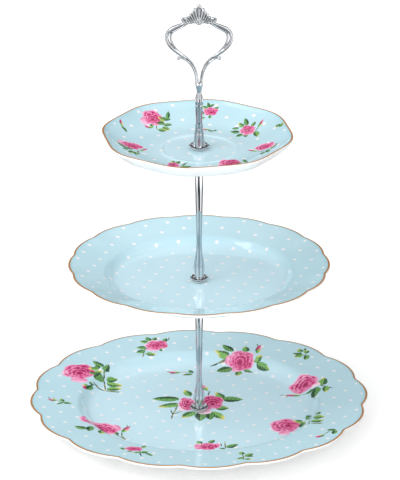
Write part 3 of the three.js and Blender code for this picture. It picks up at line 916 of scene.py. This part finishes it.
def turn_plate(node, shape, profile, rim, inner, material, wave):
    """Turns a plate's profile about the stem and draws its rim in by the waves."""
    piece = draw_profile(node + "_china", profile)
    mark_rim_run(piece, profile, profile.index(rim[GOLD_POINT]))
    spin_profile(piece, PLATE_STEPS)
    rim_r = max(radius for radius, _ in rim)

    def outward(point):
        return min(max((point.xy.length - inner) / (rim_r - inner), 0), 1)

    def notch(point):
        return shape["wave_depth"] * outward(point) * wave(front_angle(point))

    def drift(point):
        return round(shape["drift"] * outward(point), 1)

    shape_rings(piece, notch, draw_in)
    finish_piece(piece, shape["turn"])
    if "drift" in shape:
        shape_rings(piece, drift, slide)
    hand_over(piece, material, shape["body"], node)


def build_flat_plate(node, shape, rim_r, material):
    """A plate with a flat scalloped rim, a well and a foot ring."""
    under = shape["floor_z"] - shape["thickness"]
    floor_r, floor_z = shape["floor_r"], shape["floor_z"]
    shoulder_r, shoulder_z = shape["shoulder_r"], shape["shoulder_z"]
    rim_z, edge = shape["rim_z"], shape["edge"]
    rim = rim_edge(rim_r, rim_z, edge)
    below = (shoulder_r + 3.5, shoulder_z - shape["thickness"] + 0.4)
    profile = [
        *foot_profile(shape, under, under),
        (floor_r - 1, under + 0.1), (floor_r + 2.2, under + 1),
        (floor_r + 5, (under + below[1]) / 2), (shoulder_r + 1, below[1] - 0.9), below,
        *along(below, rim[0], (.25, .5, .75)), *rim,
        *along(rim[-1], (shoulder_r + 3, shoulder_z + 0.1), (.1, .25, .45, .65, .85, 1)),
        (shoulder_r + 1, shoulder_z - 0.2), (shoulder_r - 0.6, shoulder_z - 1.1),
        (shoulder_r - 2, shoulder_z - 2.8), (floor_r + 3.6, floor_z + 2.8),
        (floor_r + 1.4, floor_z + 1.1), (floor_r - 1, floor_z + 0.25), (floor_r - 4, floor_z),
        *along((floor_r - 4, floor_z), (HOLE_R, floor_z), (.25, .5, .75, .97)),
        (HOLE_R, floor_z), (HOLE_R, under),
    ]
    turn_plate(node, shape, profile, rim, shoulder_r + 2, material,
               lambda angle: 1 - abs(math.cos(angle * FLAT_PLATE_WAVES / 2)) ** 0.8)


def build_saucer(rim_r, material):
    """A saucer with eight soft waves and a low ring round its flat middle."""
    shape = SAUCER
    floor_z, rim_z, edge = shape["floor_z"], shape["rim_z"], shape["edge"]
    under = floor_z - shape["thickness"]
    ring_r, side_r = shape["ring_r"], shape["side_r"]
    rim_r += shape["flare"]
    rim = rim_edge(rim_r, rim_z, edge)
    sides = []
    for part in (0.93, 0.84, 0.73, 0.62, 0.5, 0.38, 0.26, 0.14, 0.03):
        sides.append((side_r + (rim_r - 0.8 - side_r) * part,
                      floor_z + (rim_z - floor_z) * part ** 2.2))
    profile = [
        *foot_profile(shape, under, under + 0.3),
        (rim_r * 0.5, floor_z - 3), (rim_r * 0.6, floor_z - 2.9), (rim_r * 0.68, floor_z - 2.7),
        (rim_r * 0.75, floor_z - 1.1), (rim_r * 0.81, floor_z + 0.6), (rim_r * 0.86, floor_z + 2.4),
        (rim_r * 0.905, rim_z - 8.4), (rim_r * 0.945, rim_z - 5.9), (rim_r * 0.975, rim_z - 3.7),
        (rim_r - 0.5, rim_z - 2.2), *rim[3:], *sides,
        (ring_r + 3, floor_z), (ring_r + 1.5, floor_z + 0.15), (ring_r + 0.6, floor_z + 0.62),
        (ring_r - 0.1, floor_z + 0.72), (ring_r - 0.8, floor_z + 0.5),
        (ring_r - 1.7, floor_z - 0.05), (ring_r - 2.6, floor_z - 0.1),
        *along((ring_r - 2.6, floor_z), (HOLE_R, floor_z), (.3, .6, .96)),
        (HOLE_R, floor_z), (HOLE_R, under),
    ]
    turn_plate("top_plate", shape, profile, rim, ring_r + 4, material,
               lambda angle: 0.5 - 0.5 * math.cos(angle * SAUCER_WAVES))


def flute_share(table, foot_z, ribs):
    """How far a point on the outside of a turned piece is drawn in by its flutes."""
    def share(point):
        if point.xy.length < BORE_R + 0.05:
            return 0.0
        height = point.z - foot_z
        depth = 0.0
        for (low, _, first), (high, _, second) in zip(table, table[1:]):
            if low <= height <= high + 0.01:
                depth = first + (second - first) * (height - low) / (high - low)
        return depth * (1 - (0.5 - 0.5 * math.cos(front_angle(point) * ribs)))
    return share


def build_rod(node, body, material):
    """A cast rod: a fluted bulb, a pinched waist and a plain taper to the top."""
    low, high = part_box(node)
    foot_z, top_z = low[2] / MM, high[2] / MM
    profile = [
        (0, foot_z + THREAD_BORE), (BORE_R - 0.2, foot_z + THREAD_BORE),
        (BORE_R, foot_z + THREAD_BORE - 0.2), (BORE_R, foot_z + 0.2), (BORE_R + 0.2, foot_z),
        *((radius, foot_z + height) for height, radius, _ in ROD_SHAPE),
        *((radius, top_z - depth) for radius, depth in ROD_TOP),
        (BORE_R + 0.2, top_z), (BORE_R, top_z - 0.2), (BORE_R, top_z - STUD_BORE + 0.2),
        (BORE_R - 0.2, top_z - STUD_BORE), (0, top_z - STUD_BORE),
    ]
    piece = draw_profile(node + "_chrome", profile)
    spin_profile(piece, ROD_RIBS * 12)
    shape_rings(piece, flute_share(ROD_SHAPE, foot_z, ROD_RIBS), draw_in)
    finish_piece(piece)
    hand_over(piece, material, body, node)


def build_rosette(node, radius, material):
    """A cupped disc of eight petals, each with a raised edge."""
    foot_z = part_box(node)[0][2] / MM
    profile = [(r, foot_z + z) for r, z in [
        (BORE_R, 0.15), (BORE_R + 0.3, 0), (radius * 0.45, 0), (radius * 0.6, 0.05),
        (radius * 0.74, 0.35), (radius * 0.88, 0.95), (radius * 0.98, 1.6), (radius, 2.0),
        (radius * 0.99, 2.15), (radius * 0.95, 2.1), (radius * 0.86, 1.65), (radius * 0.74, 1.15),
        (radius * 0.6, 0.85), (radius * 0.46, 0.8), (BORE_R + 0.3, 0.8), (BORE_R, 0.65),
        (BORE_R, 0.15),
    ]]
    piece = draw_profile(node + "_chrome", profile)
    spin_profile(piece, ROSETTE_PETALS * 16)

    def wave_of(point):
        return abs(math.cos(front_angle(point) * ROSETTE_PETALS / 2))

    def reach_of(point):
        return min(max((point.xy.length / radius - 0.5) / 0.5, 0), 1)

    shape_rings(piece, lambda point: -0.85 * reach_of(point) * (1 - wave_of(point)), lift)
    shape_rings(piece, lambda point: 0.15 * reach_of(point) ** 1.5 * (1 - wave_of(point)) ** 1.3,
                draw_in)
    finish_piece(piece)
    hand_over(piece, material, node, node)


def smooth_path(points, steps=6):
    """More points on the smooth curve through the given ones."""
    path = []
    ends = [points[0], *points, points[-1]]
    for before, start, stop, after in zip(ends, ends[1:], ends[2:], ends[3:]):
        for step in range(steps):
            t = step / steps
            path.append(tuple(
                0.5 * (2 * b + (c - a) * t + (2 * a - 5 * b + 4 * c - d) * t ** 2
                       + (3 * b - a - 3 * c + d) * t ** 3)
                for a, b, c, d in zip(before, start, stop, after)))
    return [*path, points[-1]]


def cast_strand(points, foot_z, side, depth):
    """A tapering bar in the handle's plane, as a closed mesh."""
    deselect_all()
    bpy.ops.curve.primitive_nurbs_path_add(location=(0, 0, 0))
    strand = bpy.context.object
    curve = strand.data
    curve.splines.clear()
    path = smooth_path(points)
    spline = curve.splines.new("POLY")
    spline.points.add(len(path) - 1)
    for point, (across, height, radius) in zip(spline.points, path):
        point.co = (across * side * MM, 0, (foot_z + height) * MM, 1)
        point.radius = radius
    curve.bevel_depth = MM
    curve.bevel_resolution = 3
    curve.use_fill_caps = True
    bpy.ops.object.convert(target="MESH")
    bpy.ops.object.mode_set(mode="EDIT")
    bpy.ops.mesh.select_all(action="SELECT")
    bpy.ops.transform.resize(value=(1, depth, 1), center_override=(0, 0, 0))
    bpy.ops.mesh.normals_make_consistent(inside=False)
    bpy.ops.object.mode_set(mode="OBJECT")
    return strand


def cast_oval(place, radii, turn=0.0, segments=20, ring_count=12):
    """A small oval lump on the casting."""
    deselect_all()
    bpy.ops.mesh.primitive_uv_sphere_add(
        segments=segments, ring_count=ring_count, radius=MM, scale=radii, rotation=(0, 0, turn),
        location=place)
    return bpy.context.object


def cast_side(side, foot_z):
    """One side of the loop with its curl, and half of the crest."""
    parts = [cast_strand(points, foot_z, side, depth) for points, depth in LOOP_STRANDS]
    parts += [cast_oval((across * side * MM, 0, (foot_z + height) * MM), radii)
              for across, height, radii in CAST_LUMPS]
    return parts + [cast_strand(rib, foot_z, side, CREST_DEPTH) for rib in CREST_SIDE]


def cast_relief(foot_z):
    """Raised petals round the handle's lower neck."""
    parts = []
    for index in range(RELIEF_PETALS):
        for height, radius, wide, tall, step in RELIEF_ROWS:
            turn = math.tau * index / RELIEF_PETALS + step * math.pi / RELIEF_PETALS
            place = (math.sin(turn) * radius * MM, -math.cos(turn) * radius * MM,
                     (foot_z + height) * MM)
            parts.append(cast_oval(place, (wide, RELIEF_DEPTH, tall), turn, 16, 10))
    return parts


def build_handle(material):
    """The loop handle, cast in one piece: fluted foot, stem, two-strand loop, curls and crest."""
    foot_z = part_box("handle")[0][2] / MM
    profile = [
        (0, foot_z + THREAD_BORE), (BORE_R, foot_z + THREAD_BORE), (BORE_R, foot_z),
        *((radius, foot_z + height) for height, radius, _ in HANDLE_STEM),
        (0, foot_z + HANDLE_STEM_TOP),
    ]
    stem = draw_profile("handle_chrome", profile)
    spin_profile(stem, HANDLE_FLUTES * 10)
    shape_rings(stem, flute_share(HANDLE_STEM, foot_z, HANDLE_FLUTES), draw_in)
    parts = cast_side(1, foot_z) + cast_side(-1, foot_z) + cast_relief(foot_z)
    parts += [cast_strand(rib, foot_z, 1, CREST_DEPTH) for rib in CREST_MIDDLE]
    across, height, radii = CREST_BALL
    parts.append(cast_oval((across * MM, 0, (foot_z + height) * MM), radii))
    deselect_all()
    for part in (*parts, stem):
        part.select_set(True)
    bpy.context.view_layer.objects.active = stem
    bpy.ops.object.join()
    cast = stem.modifiers.new("Cast", "REMESH")
    cast.mode = "VOXEL"
    cast.voxel_size = CAST_VOXEL * MM
    bpy.ops.object.modifier_apply(modifier=cast.name)
    soften = stem.modifiers.new("Soften", "SMOOTH")
    soften.factor = 0.5
    soften.iterations = 3
    bpy.ops.object.modifier_apply(modifier=soften.name)
    finish_piece(stem, levels=0)
    hand_over(stem, material, "handle", "handle")


# --- Studio -----------------------------------------------------------------------------------

# Camera: how far, how high and what it looks at.
CAMERA_DISTANCE = 4.0
CAMERA_RISE = 22.4
CAMERA_LENS = 378.7
CAMERA_TARGET = (0.0007, 0, 0.1559)
CAMERA_REACH = 60
# Soft boxes: name, place, size across and up, power, and whether reflections see it.
LIGHTS = [
    ("key_box", (-2.6, -1.6, 3.4), (2.4, 2.4), 62, True),
    ("fill_box", (3.2, -2.4, 2.6), (1.6, 2.0), 10, True),
    ("front_box", (-0.9, -4.4, 1.7), (2.4, 1.8), 60, False),
]
LIGHT_AIM = (0, 0, 0.13)
FLOOR_SIZE = 24
FLOOR_DROP = 0.3 * MM
FLOOR_GLOW = 0.13
SKY_STRENGTH = 0.83
WHITE = (1, 1, 1, 1)


def build_floor(colours):
    deselect_all()
    bpy.ops.mesh.primitive_plane_add(size=FLOOR_SIZE, location=(0, 0, -FLOOR_DROP))
    floor = bpy.context.object
    floor.name = "studio_floor"
    finish = Finish("studio_floor")
    grain = finish.noise(finish.place, 30.0, 2)
    finish.fill(finish.shader, {
        "Base Color": finish.mix(grain * 0.05, rgba(colours.floor), rgba(colours.floor, 0.98)),
        "Roughness": 0.8,
        "Specular IOR Level": 0.0,
        "Emission Color": WHITE,
        "Emission Strength": FLOOR_GLOW,
    })
    floor.data.materials.append(finish.material)
    floor.visible_glossy = False


# What reflections see of the studio. Brightness by height, from straight down to straight up.
SKY_HEIGHTS = [(0.0, 0.05), (0.12, 0.08), (0.2, 1.5), (0.4, 1.9), (0.5, 1.6), (0.56, 1.3),
               (0.74, 1.3), (0.8, 1.9), (0.9, 2.0), (0.95, 1.1), (1.0, 0.7)]
# How much of it is left by turn, from the back over the right (0.25) to the camera (0.5). The
# first table holds near the ground and overhead, the second at middle heights.
SKY_TURNS_BELOW = [
    (0.0, 0.3), (0.05, 0.45), (0.09, 0.3), (0.115, 0.04), (0.16, 0.05), (0.2, 0.35), (0.24, 1.0),
    (0.44, 1.0), (0.475, 0.4), (0.495, 0.04), (0.555, 0.04), (0.585, 0.4), (0.63, 0.95),
    (0.75, 1.0), (0.79, 0.4), (0.82, 0.05), (0.85, 0.3), (0.88, 0.05), (0.915, 0.25), (0.95, 0.45),
    (1.0, 0.3),
]
SKY_TURNS_ABOVE = [(0.0, 0.1), (0.15, 0.12), (0.2, 0.8), (0.25, 1.0), (0.28, 0.15), (0.32, 0.15),
                   (0.35, 1.0), (0.66, 1.0), (0.69, 0.15), (0.73, 0.15), (0.76, 1.0), (0.82, 0.8),
                   (0.86, 0.12), (1.0, 0.1)]
# By height, 0 for the first table of turns and 1 for the second.
SKY_CHANGE = [(0.47, 0.0), (0.53, 1.0), (0.76, 1.0), (0.84, 0.0)]
# A ramp stores no value above 1, so its values are divided by this and multiplied again.
RAMP_SCALE = 3


def build_sky(scene):
    """White to the camera and to matt surfaces, with darker panels that only reflections see."""
    scene.world = bpy.data.worlds.new("studio_sky")
    sky = Finish("studio_sky", scene.world)
    x, y, z = sky.parts(sky.coordinates["Generated"])
    turn = (x.work("ARCTAN2", x, y) / math.tau).fraction()
    height = z * 0.5 + 0.5

    def table(value, stops):
        return sky.ramp(value, [(at, (*[level / RAMP_SCALE] * 3, 1)) for at, level in stops])

    change = Level(sky, table(height, SKY_CHANGE)) * RAMP_SCALE
    turns = sky.mix(change, table(turn, SKY_TURNS_BELOW), table(turn, SKY_TURNS_ABOVE))
    panels = sky.vector("MULTIPLY", table(height, SKY_HEIGHTS), turns)
    panels = sky.vector("MULTIPLY", panels, (RAMP_SCALE ** 2,) * 3)

    def glow(colour, strength=1.0):
        inputs = {"Color": colour, "Strength": strength}
        return sky.node("ShaderNodeBackground", None, inputs).outputs[0]

    def choose(ray, other, chosen):
        ray = sky.node("ShaderNodeLightPath").outputs[ray]
        return sky.node("ShaderNodeMixShader", None, {0: ray, 1: other, 2: chosen}).outputs[0]

    lit = choose("Is Glossy Ray", glow(WHITE, SKY_STRENGTH), glow(panels))
    seen = choose("Is Camera Ray", lit, glow(WHITE))
    sky.node("ShaderNodeOutputWorld", None, {"Surface": seen})


def add_light(name, place, size, power, mirrored):
    """A soft box aimed at the stand, unseen by the camera."""
    deselect_all()
    bpy.ops.object.light_add(type="AREA", location=place)
    light = bpy.context.object
    light.name = name
    light.data.shape = "RECTANGLE"
    light.data.size, light.data.size_y = size
    light.data.energy = power
    aim = Vector(LIGHT_AIM) - Vector(place)
    light.rotation_euler = aim.to_track_quat("-Z", "Y").to_euler()
    light.visible_camera = False
    light.visible_glossy = mirrored


def place_camera(scene):
    rise = math.radians(CAMERA_RISE)
    away = Vector((0, -math.cos(rise), math.sin(rise))) * CAMERA_DISTANCE
    deselect_all()
    bpy.ops.object.camera_add(location=Vector(CAMERA_TARGET) + away,
                              rotation=(math.pi / 2 - rise, 0, 0))
    camera = bpy.context.object
    camera.name = "studio_camera"
    camera.data.lens = CAMERA_LENS
    camera.data.sensor_fit = "AUTO"
    camera.data.clip_end = CAMERA_REACH
    scene.camera = camera


# --- Operators --------------------------------------------------------------------------------

class CAKESTAND_OT_large_plates(bpy.types.Operator):
    """Models the bottom and the middle plate"""

    bl_idname = "cake_stand.large_plates"
    bl_label = "Large plates"

    def execute(self, context):
        sizes, colours = context.scene.stand_sizes, context.scene.stand_colours
        marks = (BOTTOM_STEMS, BOTTOM_LEAVES, BOTTOM_PETALS, BOTTOM_ROSES, BOTTOM_TOP_LEAVES,
                 BOTTOM_BUDS)
        for node, rim, dots, painted in (("bottom_plate", sizes.bottom_rim, "bottom", marks),
                                         ("middle_plate", sizes.middle_rim, "middle", None)):
            shape = FLAT_PLATES[node]
            material = china_finish(node + "_glaze", sizes, colours, shape["floor_r"],
                                    shape["shoulder_r"], DOTS[dots], painted)
            build_flat_plate(node, shape, rim / MM, material)
        return {"FINISHED"}


class CAKESTAND_OT_saucer(bpy.types.Operator):
    """Models the saucer on top"""

    bl_idname = "cake_stand.saucer"
    bl_label = "Saucer"

    def execute(self, context):
        sizes, colours = context.scene.stand_sizes, context.scene.stand_colours
        marks = (TOP_STEMS, TOP_LEAVES, TOP_PETALS, TOP_ROSES, TOP_TOP_LEAVES, TOP_BUDS)
        material = china_finish("top_plate_glaze", sizes, colours, SAUCER["ring_r"],
                                SAUCER["side_r"] + 12, DOTS["top"], marks)
        build_saucer(sizes.top_rim / MM, material)
        return {"FINISHED"}


class CAKESTAND_OT_rods(bpy.types.Operator):
    """Models the two stem rods"""

    bl_idname = "cake_stand.rods"
    bl_label = "Stem rods"

    def execute(self, context):
        material = chrome_finish("rod_chrome", context.scene.stand_colours, 0.6, ROD_RIBS)
        build_rod("lower_rod", "lower_stem", material)
        build_rod("upper_rod", "upper_stem", material)
        return {"FINISHED"}


class CAKESTAND_OT_rosettes(bpy.types.Operator):
    """Models the petalled discs under the rods and the handle"""

    bl_idname = "cake_stand.rosettes"
    bl_label = "Rosettes"

    def execute(self, context):
        material = chrome_finish("rosette_chrome", context.scene.stand_colours, 0.8)
        for node, radius in ROSETTES.items():
            build_rosette(node, radius, material)
        return {"FINISHED"}


class CAKESTAND_OT_handle(bpy.types.Operator):
    """Models the loop handle with its crest"""

    bl_idname = "cake_stand.handle"
    bl_label = "Handle"

    def execute(self, context):
        flute_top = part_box("handle")[0][2] + HANDLE_FLUTE_TOP * MM
        build_handle(chrome_finish("handle_chrome", context.scene.stand_colours, 1.0,
                                   HANDLE_FLUTES, flute_top, **CAST_CHROME))
        return {"FINISHED"}


class CAKESTAND_OT_fittings(bpy.types.Operator):
    """Gives the bolt, studs, washers and gaskets their finishes"""

    bl_idname = "cake_stand.fittings"
    bl_label = "Fittings"

    def execute(self, context):
        colours = context.scene.stand_colours
        zinc, rubber = zinc_finish(colours), rubber_finish(colours)
        for name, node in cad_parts.items():
            material = zinc if name.endswith(("bolt", "washer", "stud")) else rubber
            if name.endswith(("bolt", "washer", "stud", "gasket")):
                for slot in node.material_slots:
                    slot.material = material
        return {"FINISHED"}


class CAKESTAND_OT_stage(bpy.types.Operator):
    """Lays the floor and sets the lights and the camera"""

    bl_idname = "cake_stand.stage"
    bl_label = "Studio"

    def execute(self, context):
        build_floor(context.scene.stand_colours)
        build_sky(context.scene)
        for light in LIGHTS:
            add_light(*light)
        place_camera(context.scene)
        context.scene.view_settings.view_transform = "Standard"
        return {"FINISHED"}


STEPS = (CAKESTAND_OT_large_plates, CAKESTAND_OT_saucer, CAKESTAND_OT_rods,
         CAKESTAND_OT_rosettes, CAKESTAND_OT_handle, CAKESTAND_OT_fittings, CAKESTAND_OT_stage)


class CAKESTAND_PT_panel(bpy.types.Panel):
    """Lists the stand's settings and the steps that build it"""

    bl_idname = "CAKESTAND_PT_panel"
    bl_label = "Cake Stand"
    bl_space_type = "VIEW_3D"
    bl_region_type = "UI"
    bl_category = "Cake Stand"

    def draw(self, context):
        for settings in (context.scene.stand_sizes, context.scene.stand_colours):
            box = self.layout.box()
            for name in settings.__annotations__:
                box.prop(settings, name)
        for step in STEPS:
            self.layout.operator(step.bl_idname)


CLASSES = (StandSizes, StandColours, *STEPS, CAKESTAND_PT_panel)


def register():
    for item in CLASSES:
        bpy.utils.register_class(item)
    bpy.types.Scene.stand_sizes = bpy.props.PointerProperty(type=StandSizes)
    bpy.types.Scene.stand_colours = bpy.props.PointerProperty(type=StandColours)


def unregister():
    del bpy.types.Scene.stand_sizes
    del bpy.types.Scene.stand_colours
    for item in reversed(CLASSES):
        bpy.utils.unregister_class(item)


def main():
    register()
    bpy.ops.cake_stand.large_plates()
    bpy.ops.cake_stand.saucer()
    bpy.ops.cake_stand.rods()
    bpy.ops.cake_stand.rosettes()
    bpy.ops.cake_stand.handle()
    bpy.ops.cake_stand.fittings()
    bpy.ops.cake_stand.stage()


if __name__ == "__main__":
    main()
